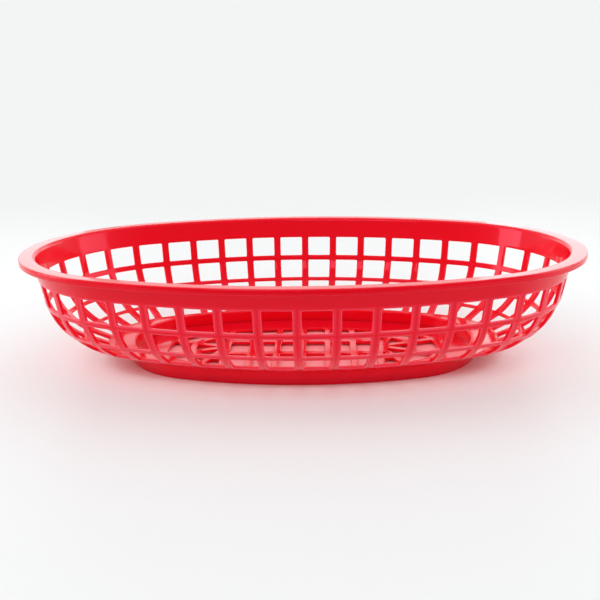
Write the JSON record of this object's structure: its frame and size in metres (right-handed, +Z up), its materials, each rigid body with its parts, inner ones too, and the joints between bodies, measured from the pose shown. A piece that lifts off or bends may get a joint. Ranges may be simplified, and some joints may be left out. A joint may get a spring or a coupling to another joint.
{
  "type": "fast food basket",
  "caption": "Red oval plastic serving basket with a flat flanged rim, a lattice of windows in its curved wall and a slotted floor in a low foot ring.",
  "frame": {"origin": "middle of the face that the foot ring stands on, at the centre of the overall outline", "axes": "+X along the basket's length, +Y across its width, +Z up out of its open mouth"},
  "size_m": [0.235, 0.155, 0.0468],
  "materials": {
    "red_plastic": "glossy"
  },
  "bodies": {
    "root": {"basket": "red_plastic"}
  },
  "joints": []
}
